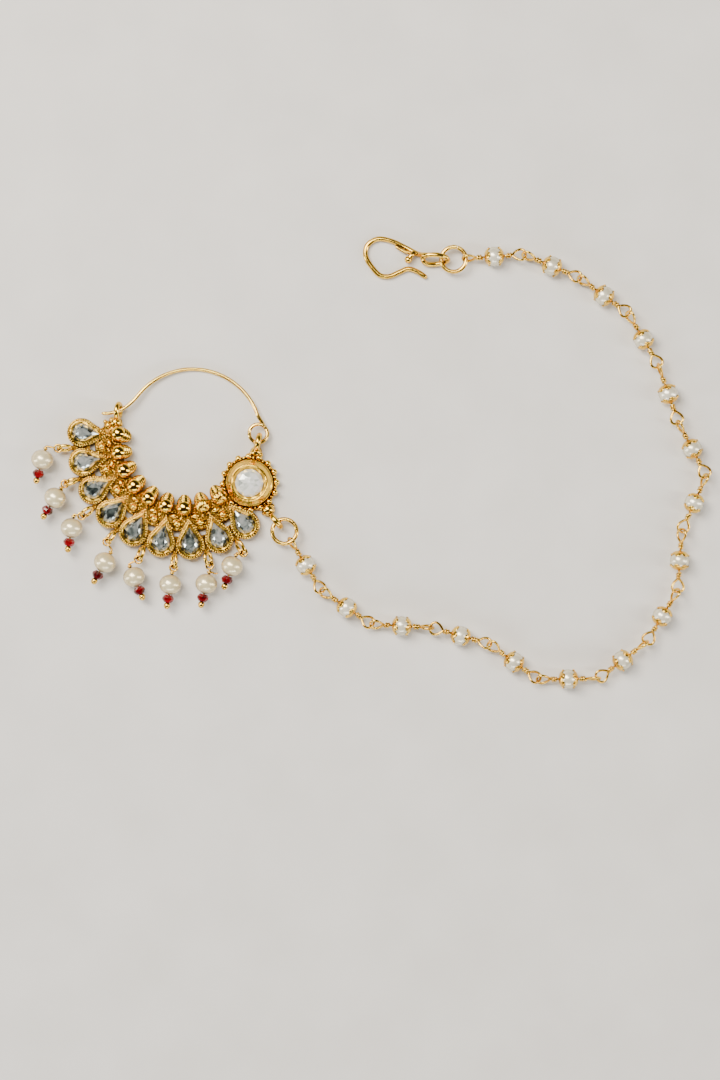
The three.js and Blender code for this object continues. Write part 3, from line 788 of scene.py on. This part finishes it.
# ---- drop pearls ----
# Cream imitation pearls, pressed a little flat along the pin, with a dimple at each hole and a
# soft lustre under the skin.
# Each drop: the distance and the angle of its pearl from the ring's centre, and its pin's heading.
DROPS = [
    (30.45, 187, 254), (29.95, 203.4, 238), (30.15, 217.4, 260), (30.7, 236.8, 240),
    (30.7, 249.8, 292), (30.55, 264.7, 261), (30.65, 279.2, 256), (28.45, 291.4, 250),
]
PEARL_RADIUS, PEARL_HALF, PEARL_BORE = 2.45, 2.2, 0.34


def pearl_skin(name, light, shade, rim_shade):
    """Pearl lacquer: cream body, faint clouding, painted shade at the rim and a clear coat."""
    material, tree, shader, place = plain_finish(name)
    cloud = add(tree, "ShaderNodeTexNoise", {"Vector": place, "Scale": 380.0, "Detail": 4.0})
    body = add(tree, "ShaderNodeValToRGB", {"Fac": cloud.outputs["Fac"]},
               stops=[(0.3, shade), (0.62, light)])
    # Painted shade: where the surface turns away from the view, the colour goes to the rim shade.
    rim = add(tree, "ShaderNodeLayerWeight", {"Blend": 0.35})
    skin = add(tree, "ShaderNodeMix", {
        "Factor": rim.outputs["Facing"], "A": body.outputs["Color"], "B": to_linear(rim_shade)},
        data_type="RGBA")
    pores = add(tree, "ShaderNodeTexNoise", {"Vector": place, "Scale": 2400.0, "Detail": 2.0})
    bump = add(tree, "ShaderNodeBump", {
        "Height": pores.outputs["Fac"], "Strength": 0.12, "Distance": 0.02 * MM})
    fill(tree, shader, {
        "Base Color": skin.outputs["Result"], "Normal": bump.outputs["Normal"],
        "Metallic": 0.35, "Roughness": 0.27, "Coat Weight": 0.8, "Coat Roughness": 0.12})
    return material


def pearl_shape(radius, half, bore, segments=48, rows=26):
    """A pearl about X with a small dimpled hole through it."""
    start = math.asin(bore / radius) * 1.5
    profile = []
    for i in range(rows + 1):
        a = start + (math.pi - 2 * start) * i / rows
        profile.append((radius * math.sin(a) ** 0.97, -half * math.cos(a)))
    inner = [(bore, profile[-1][1] - 0.22), (bore, profile[0][1] + 0.22)]
    loops = [[Vector((along, r * math.cos(2 * math.pi * i / segments),
                      r * math.sin(2 * math.pi * i / segments))) for i in range(segments)]
             for r, along in profile + inner]
    return loft(loops, True)


# Cream lacquer: warm ivory in the middle, that falls to a brownish painted shade at the rim.
cream_skin = pearl_skin("cream_pearl_lacquer", "#f8ecc2", "#e8d7a2", "#94794a")
drop_frames = []
for radius, angle, heading in DROPS:
    drop_frames.append(Matrix.Translation(polar(radius, angle, DROP_HEIGHT))
                       @ Matrix.Rotation(math.radians(heading), 4, "Z"))
pearl_template = template("drop_pearl", pearl_shape(PEARL_RADIUS, PEARL_HALF, PEARL_BORE))
draw = random.Random(3)
pearl_places = []
for at in drop_frames:
    turn = (at @ Matrix.Rotation(draw.uniform(0, 6), 4, "X")).to_euler()
    pearl_places.append((at.translation, tuple(turn), (draw.uniform(0.97, 1.0),) * 3))
drop_pearls = scattered("drop_pearls", copy_tree, pearl_template, cream_skin, pearl_places)
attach(drop_pearls, "jewel")
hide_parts(*[f"drop_pearl_{i + 1}" for i in range(len(DROPS))])

# ---- ruby glass beads ----
# A small faceted rondelle of deep red glass under each pearl, threaded on the same pin between
# the pearl and the pin's ball.
# Ruby glass: dark red in the body, with a clear red glow where the light gets through.
ruby, tree, shader, place = plain_finish("ruby_red_glass")
depth = add(tree, "ShaderNodeTexNoise", {"Vector": place, "Scale": 700.0, "Detail": 2.0})
red = add(tree, "ShaderNodeValToRGB", {"Fac": depth.outputs["Fac"]},
          stops=[(0.35, "#440007"), (0.65, "#a20314")])
fill(tree, shader, {"Base Color": red.outputs["Color"], "Roughness": 0.05,
                    "Transmission Weight": 0.3, "IOR": 1.5, "Coat Weight": 0.2})
BEAD_RADIUS, BEAD_HALF, BEAD_AT, BEAD_BORE = 1.28, 0.82, 3.1, 0.32
BEAD_END, BEAD_EDGE, BEAD_SIDES = 0.8, 0.2, 10
bead_loops = []
for r, along, half in (
        (BEAD_BORE, -BEAD_HALF, 0), (BEAD_END, -BEAD_HALF, 0), (BEAD_RADIUS, -BEAD_EDGE, 0.5),
        (BEAD_RADIUS, BEAD_EDGE, 0.5), (BEAD_END, BEAD_HALF, 0), (BEAD_BORE, BEAD_HALF, 0)):
    turns = [2 * math.pi * (i + half) / BEAD_SIDES for i in range(BEAD_SIDES)]
    bead_loops.append([
        Vector((along + BEAD_AT, r * math.cos(a), r * math.sin(a))) for a in turns])
bead_template = template("ruby_bead", loft(bead_loops, True), False)
bead_places = [(at.translation, tuple(at.to_euler()), ONE) for at in drop_frames]
ruby_beads = scattered("ruby_beads", copy_tree, bead_template, ruby, bead_places)
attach(ruby_beads, "jewel")
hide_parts(*[f"drop_glass_bead_{i + 1}" for i in range(len(DROPS))])

# ---- drop pins ----
# Each drop hangs on a headpin: a round eye through its loop, a bent neck, the pin through pearl
# and bead, and a polished ball end. A few cut tails stick out beside the eyes.
PIN_WIRE, PIN_EYE, PIN_NECK, PIN_BALL, PIN_BALL_AT = 0.22, 0.78, 2.9, 0.7, 4.6
TWIST_WIRE, TAIL_WIRE = 0.17, 0.19
TAILS = {1: 55, 3: -60, 6: 70, 7: 160}
pins = []
for index, at in enumerate(drop_frames):
    loop_end = polar(DROP_LOOP_RADIUS + DROP_LOOP_HALF,
                     PEAR_FIRST + PEAR_PITCH * (index + 0.5), DROP_HEIGHT)
    neck = at @ Vector((-PIN_NECK, 0, 0))
    way = (neck - loop_end).normalized()
    eye = [loop_end + Vector((way.x * p.x - way.y * p.y, way.y * p.x + way.x * p.y, 0))
           for p in ring_line(PIN_EYE, count=36)]
    pins.append(sweep(eye, PIN_WIRE, 10, True))
    route = smooth_path([loop_end + way * PIN_EYE, neck, at @ Vector((-2.35, 0, 0)),
                         at @ Vector((-1.6, 0, 0))], 0.12)
    pins.append(sweep(route, PIN_WIRE, 10))
    twist = [at @ Vector((-2.62 + 0.34 * t / 24, 0.36 * math.cos(t * 0.6),
                          0.36 * math.sin(t * 0.6))) for t in range(22)]
    pins.append(sweep(twist, TWIST_WIRE, 8, blunt=0.1))
    shaft = lathe([(0.0, -2.4), (PIN_WIRE, -2.4), (PIN_WIRE, 4.0), (PIN_WIRE, PIN_BALL_AT - 0.55)],
                  12, "X")
    pins.append(moved(shaft, at))
    end = moved(ball(PIN_BALL, 10, 18, 1.1), Matrix.Rotation(math.pi / 2, 4, "Y"))
    pins.append(moved(end, at @ Matrix.Translation((PIN_BALL_AT, 0, 0))))
    if index in TAILS:
        base = neck + Vector((0, 0, 0.1))
        out = Matrix.Rotation(math.radians(TAILS[index]), 3, "Z") @ way
        tail = smooth_path([base - way * 0.4, base, base + out * 1.1 + way * 0.25,
                            base + out * 1.9], 0.12)
        pins.append(sweep(tail, TAIL_WIRE, 8, blunt=0.06))
# Headpin gold: plain bright wire, with brown painted shade where it wraps round itself.
pin_gold = gilding("headpin_gold", "#f0c452", "#cf9a38", "#4e2e0a", recess=0.4)
drop_pins = make("drop_pins", together(pins), pin_gold)
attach(drop_pins, "jewel")
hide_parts(*[f"drop_pin_{i + 1}" for i in range(len(DROPS))])

# ---- chain ----
# Sixteen white pearls, each on its own wire: a scalloped filigree cap on both sides, two turns
# of wrapped wire, and a teardrop eye at each end that hooks the next one's.
LINK_PITCH, LINK_X, LINK_Y, LINK_Z = 12.9, 22.76, -20.81, 2.15
# The heading of each link, and the roll in degrees of the eye at its start and at its end.
HEADINGS = [-58, -34, -3, -16, -36, 1, 37, 59, 86, 66, 118, 109, 120, 144, 157, 184]
EYE_ROLLS = [
    (68, -30), (45, -25), (50, -75), (5, -35), (40, -30), (50, 80), (10, -80), (5, -65),
    (15, -55), (20, -70), (10, -75), (0, -85), (10, -60), (15, -60), (25, -60), (25, -68),
]
CHAIN_RADIUS, CHAIN_HALF, CHAIN_BORE = 2.1, 2.02, 0.3
WRAP_WIRE, WRAP_STEPS, WRAP_FROM, WRAP_LONG, WRAP_RADIUS = 0.25, 51, -2.55, 1.2, 0.4
CORE = [(0.0, -4.15), (0.2, -4.1), (0.24, -3.9), (0.24, -0.2), (0.0, -0.2)]
EYE_FROM, EYE_TO, EYE_WIDE, EYE_WIRE = 3.9, 6.78, 1.34, 0.28
link_frames = []
joint = Vector((LINK_X, LINK_Y, LINK_Z))
for heading in HEADINGS:
    along = polar(LINK_PITCH, heading)
    link_frames.append(Matrix.Translation(joint + along / 2)
                       @ Matrix.Rotation(math.radians(heading), 4, "Z"))
    joint = joint + along

# White lacquer: paler than the drops, with an olive-grey painted shade at the rim.
white_skin = pearl_skin("white_pearl_lacquer", "#f8f2dc", "#e4dcc0", "#8f8462")
chain_pearl = template("chain_pearl", pearl_shape(CHAIN_RADIUS, CHAIN_HALF, CHAIN_BORE))
draw = random.Random(11)
link_places = []
for at in link_frames:
    turn = (at @ Matrix.Rotation(draw.uniform(0, 6), 4, "X")).to_euler()
    link_places.append((at.translation, tuple(turn), ONE))
chain_pearls = scattered("chain_pearls", copy_tree, chain_pearl, white_skin, link_places)
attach(chain_pearls, "jewel")
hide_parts(*[f"chain_pearl_{i + 1:02d}" for i in range(len(HEADINGS))])


def on_pearl(lift, reach, turn):
    """A point over a chain pearl's -X end, by its lift, its arc from the pole and its turn."""
    across = (CHAIN_RADIUS + lift) * math.sin(reach)
    return Vector((-(CHAIN_HALF + lift) * math.cos(reach), across * math.cos(turn),
                   across * math.sin(turn)))


def filigree_cap(petals=6, rows=7, around=72):
    """A thin pressed cap on the -X end of a pearl: its edge is cut into round petals."""
    outer, inner = [], []
    for row in range(rows + 1):
        for layer, lift in ((outer, 0.15), (inner, 0.04)):
            loop = []
            for i in range(around):
                a = 2 * math.pi * i / around
                petal = abs(math.cos(petals * a / 2)) ** 0.7
                reach = 0.30 + (0.5 + 0.36 * petal) * row / rows
                bulge = lift + 0.05 * math.sin(math.pi * row / rows) * petal
                loop.append(on_pearl(bulge, reach, a))
            layer.append(loop)
    shell = loft(outer + inner[::-1], True)
    grains = []
    for i in range(petals):
        spot = on_pearl(0.16, 1.0, 2 * math.pi * i / petals)
        grains.append(moved(ball(0.2, 5, 8), Matrix.Translation(spot)))
    return together([shell] + grains)


def wraps(turns=2.2):
    """Wire wound round the core between the cap and the eye, on the -X side."""
    path = []
    for i in range(WRAP_STEPS + 1):
        t = i / WRAP_STEPS
        a = 2 * math.pi * turns * t
        path.append(Vector((WRAP_FROM - WRAP_LONG * t, WRAP_RADIUS * math.cos(a),
                            WRAP_RADIUS * math.sin(a))))
    return sweep(path, WRAP_WIRE, 8, blunt=0.05)


half_link = together([filigree_cap(), wraps(), lathe(CORE, 10, "X")])
flip = Matrix.Rotation(math.pi, 4, "Z")
link_metal = template("link_caps_and_wraps", together([half_link, moved(half_link, flip)]))
eye_line = []
for i in range(40):
    t = 2 * math.pi * i / 40
    eye_line.append(Vector((
        EYE_FROM + (EYE_TO - EYE_FROM) * (1 - math.cos(t)) / 2,
        EYE_WIDE * 1.22 * math.sin(t) * abs(math.sin(t / 2)) ** 0.8, 0)))
eye_template = template("link_eye", sweep(eye_line, EYE_WIRE, 10, True))
# Chain gold: plain bright plate, with brown painted shade between the petals and the turns of wire.
chain_gold = gilding("chain_wire_gold", "#f4ca58", "#d9a640", "#5a360e", recess=0.4)
metal_places, eye_places = [], []
for at, (start_roll, end_roll) in zip(link_frames, EYE_ROLLS):
    turn = (at @ Matrix.Rotation(draw.uniform(0, 6), 4, "X")).to_euler()
    metal_places.append((at.translation, tuple(turn), ONE))
    for roll, way in ((start_roll, flip), (end_roll, Matrix.Identity(4))):
        spin = at @ Matrix.Rotation(math.radians(roll), 4, "X") @ way
        eye_places.append((at.translation, tuple(spin.to_euler()), ONE))
chain_metal = scattered("chain_caps_and_wraps", copy_tree, link_metal, chain_gold, metal_places)
chain_eyes = scattered("chain_eyes", copy_tree, eye_template, chain_gold, eye_places)
for obj in (chain_metal, chain_eyes):
    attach(obj, "jewel")
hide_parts(*[f"chain_links_{i + 1}" for i in range(4)])

# ---- jump rings ----
# Two round rings of thicker gilt wire, each cut once and closed end to end. One ties the chain
# to the crescent's lug, and the other ties it to the eye of the hook.
RING_SWEEP, RING_STEPS = 357.5, 71
# Each ring: x, y, z, radius, wire radius, heading, lean, and the angle of its cut.
RINGS = [
    ("jump_ring_1", 21.6, -19.05, 2.1, 2.62, 0.46, -55, -3, 200),
    ("jump_ring_2", 57.87, 39.25, 2.05, 2.65, 0.46, 0, -3, 75),
]
# Jump ring gold: smooth thick wire with broad, clear highlights, and brown painted shade where it
# closes on other parts.
ring_gold = gilding("jump_ring_gold", "#f4c956", "#dba940", "#54320c", rough=0.17, recess=0.4,
                    grain=0.12)
for name, x, y, z, radius, wire, heading, lean, cut in RINGS:
    turns = [math.radians(cut + RING_SWEEP * i / RING_STEPS) for i in range(RING_STEPS + 1)]
    path = [Vector((radius * math.cos(a), radius * math.sin(a), 0)) for a in turns]
    turn = Euler((0, math.radians(lean), math.radians(heading)), "XYZ").to_matrix().to_4x4()
    ring = moved(sweep(path, wire, 14), Matrix.Translation((x, y, z)) @ turn)
    jump_ring = creased(make(name + "_gilt", ring, ring_gold), 50)
    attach(jump_ring, "jewel")
    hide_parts(name)

# ---- hair hook ----
# One thick wire bent into a long hook with a turned-out tip. Its other end closes into an eye
# and is soldered back on the stem with a ball of solder and a short bar.
HOOK_WIRE, HOOK_EYE_Z, BAR_WIRE, HOOK_BALL, EYE_BALL = 0.55, 1.95, 0.32, 0.82, 0.66
low, mid = HOOK_WIRE, HOOK_EYE_Z
HOOK_LINE = [
    (52.2, 35.35, low), (50.2, 36.7, low), (48.2, 37.35, low), (46.2, 36.6, low),
    (44.2, 35.75, low), (42.2, 35.9, low), (40.3, 37.8, low), (39.0, 40.2, low),
    (39.4, 42.4, low), (41.6, 43.75, low), (44.6, 43.3, low), (47.6, 41.9, low),
    (50.2, 40.5, low + 0.5), (52.0, 40.1, mid + 0.9), (54.2, 40.1, mid + 1.35),
    (56.0, 39.7, mid + 0.9), (56.6, 39.15, mid), (56.0, 38.7, mid - 0.9),
    (54.2, 38.35, mid - 1.35), (52.6, 38.3, mid - 1.1), (51.6, 38.7, mid - 0.75),
    (51.1, 39.5, mid - 0.5),
]
BAR_LINE = [(49.2, 40.7, 1.2), (47.5, 40.95, 1.1), (46.4, 41.5, 1.0), (45.3, 42.25, 0.95)]
NECK_LINE = [(48.3, 39.45, 1.35), (48.9, 40.2, 1.4), (49.5, 40.9, 1.1)]
hook_shapes = [
    sweep(smooth_path([Vector(p) for p in HOOK_LINE], 0.3), HOOK_WIRE, 18, blunt=0.02),
    sweep(smooth_path([Vector(p) for p in BAR_LINE], 0.2), BAR_WIRE, 12, blunt=0.15),
    moved(ball(HOOK_BALL, 12, 24), Matrix.Translation((48.15, 39.25, 1.3))),
    sweep(smooth_path([Vector(p) for p in NECK_LINE], 0.15), HOOK_WIRE, 14),
    moved(ball(EYE_BALL, 10, 18), Matrix.Translation((51.3, 39.7, 1.45))),
]
# Hook gold: smooth heavy wire like the rings, with a slightly softer shine, and brown painted shade
# where the eye and the bar lie close on the stem.
hook_gold = gilding("hook_gold", "#f4c852", "#d8a63e", "#54320a", rough=0.18, recess=0.5,
                    grain=0.15)
hair_hook = make("hair_hook_gilt", together(hook_shapes), hook_gold)
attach(hair_hook, "jewel")
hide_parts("hair_hook")

# ---- table, light and camera ----
# A plain pale table, two soft lights from above, long strips low on three sides for the gold to
# mirror, and a camera straight above the middle of the piece.
FRAME_TALL, AIM_X, AIM_Y, LENS, SENSOR = 232.2, 37.8, -20.9, 100.0, 36.0
table_mesh = bpy.data.meshes.new("table")
table_mesh.from_pydata([(-3, -3, 0), (3, -3, 0), (3, 3, 0), (-3, 3, 0)], [], [(0, 1, 2, 3)])
table = placed("table", table_mesh)
# Matt pale paint: a warm off-white, faintly mottled, so that gold and shadows read on it.
paint, tree, shader, place = plain_finish("pale_table")
mottle = add(tree, "ShaderNodeTexNoise", {"Vector": place, "Scale": 60.0, "Detail": 3.0})
pale = add(tree, "ShaderNodeValToRGB", {"Fac": mottle.outputs["Fac"]},
           stops=[(0.3, "#dedcd8"), (0.7, "#e6e4e0")])
fill(tree, shader, {"Base Color": pale.outputs["Color"], "Roughness": 0.85})
table_mesh.materials.append(paint)

world = bpy.data.worlds.new("studio")
bpy.context.scene.world = world
world.use_nodes = True
tree = world.node_tree
up = add(tree, "ShaderNodeSeparateXYZ", {
    "Vector": add(tree, "ShaderNodeTexCoord").outputs["Generated"]})
sky = add(tree, "ShaderNodeValToRGB", {"Fac": up.outputs["Z"]}, stops=[
    (0.0, "#b8b5b0"), (0.08, "#8a8783"), (0.3, "#403e3c"), (1.0, "#302e2c")])
fill(tree, tree.nodes["Background"], {"Color": sky.outputs["Color"], "Strength": 0.9})


def soft_light(name, place, size, watts, colour):
    """A rectangular soft box aimed at the middle of the piece."""
    data = bpy.data.lights.new(name, "AREA")
    data.shape = "RECTANGLE"
    data.size, data.size_y = size
    data.energy = watts
    data.color = to_linear(colour)[:3]
    lamp = placed(name, data)
    lamp.location = place
    lamp.rotation_euler = (-Vector(place)).to_track_quat("-Z", "Y").to_euler()


soft_light("key_box", (-0.35, 0.30, 0.60), (0.35, 0.35), 8.0, "#fff6ea")
soft_light("top_panel", (-0.10, 0.22, 0.75), (0.28, 0.16), 3.0, "#fffaf0")
soft_light("side_strip", (0.65, -0.10, 0.35), (0.12, 0.7), 4.0, "#fffaf2")
soft_light("low_strip", (0.0, -0.70, 0.30), (0.8, 0.10), 3.0, "#ffffff")
soft_light("left_strip", (-0.70, -0.15, 0.22), (0.08, 0.5), 2.5, "#ffffff")

lens = bpy.data.cameras.new("camera")
camera = placed("camera", lens)
bpy.context.scene.camera = camera
lens.sensor_fit = "VERTICAL"
lens.sensor_height = SENSOR
lens.lens = LENS
aim = (Vector((AIM_X, AIM_Y, 0)) + Vector((OFFSET.x, OFFSET.y, 0))) * MM
camera.location = aim + Vector((0, 0, FRAME_TALL * MM * LENS / SENSOR))
lens.clip_start, lens.clip_end = 0.01, 20.0
